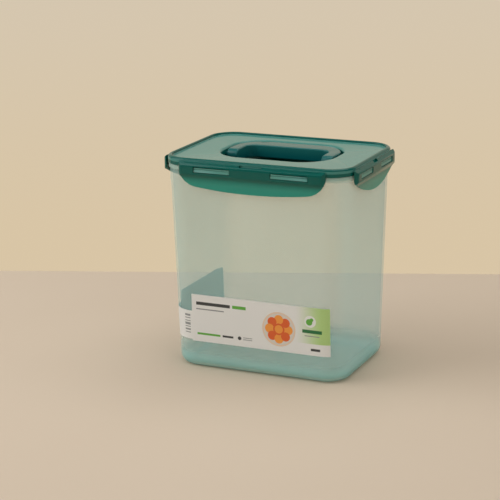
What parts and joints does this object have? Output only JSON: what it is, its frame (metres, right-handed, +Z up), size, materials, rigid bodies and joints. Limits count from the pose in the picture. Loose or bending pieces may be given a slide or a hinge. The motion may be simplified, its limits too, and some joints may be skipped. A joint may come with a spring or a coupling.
{
  "type": "food storage container",
  "caption": "Tall rectangular food keeper: a frosted translucent tub with a locking lid, four hinged wings and a handle that folds down into the lid.",
  "frame": {"origin": "middle of the base, on the surface that the tub stands on", "axes": "+Z up, +X to the right along the long side, -Y to the front with the label"},
  "size_m": [0.211, 0.1546, 0.2215],
  "materials": {
    "tub_plastic": "frosted translucent",
    "lid_plastic": "semi-gloss",
    "seal": "matte",
    "sticker": "satin"
  },
  "bodies": {
    "container": {"container": "tub_plastic", "label": "sticker"},
    "lid": {"lid": "lid_plastic", "gasket": "seal"},
    "wing_front": {"wing_front": "lid_plastic"},
    "wing_back": {"wing_back": "lid_plastic"},
    "wing_left": {"wing_left": "lid_plastic"},
    "wing_right": {"wing_right": "lid_plastic"},
    "handle": {"handle": "lid_plastic"}
  },
  "joints": [
    {"name": "lid_lift", "type": "slide", "parent": "container", "child": "lid", "axis": [0, 0, 1], "range_m": [0, 0.08]},
    {"name": "wing_front_hinge", "type": "hinge", "parent": "lid", "child": "wing_front", "pos_m": [0, -0.07368, 0.2177], "axis": [-1, 0, 0], "range_deg": [-4.5, 110]},
    {"name": "wing_back_hinge", "type": "hinge", "parent": "lid", "child": "wing_back", "pos_m": [0, 0.07368, 0.2177], "axis": [1, 0, 0], "range_deg": [-4.5, 110]},
    {"name": "wing_right_hinge", "type": "hinge", "parent": "lid", "child": "wing_right", "pos_m": [0.10193, 0, 0.2177], "axis": [0, -1, 0], "range_deg": [-4.5, 110]},
    {"name": "wing_left_hinge", "type": "hinge", "parent": "lid", "child": "wing_left", "pos_m": [-0.10193, 0, 0.2177], "axis": [0, 1, 0], "range_deg": [-4.5, 110]},
    {"name": "handle_hinge", "type": "hinge", "parent": "lid", "child": "handle", "pos_m": [0, 0.0025, 0.2122], "axis": [1, 0, 0], "range_deg": [0, 90]}
  ]
}
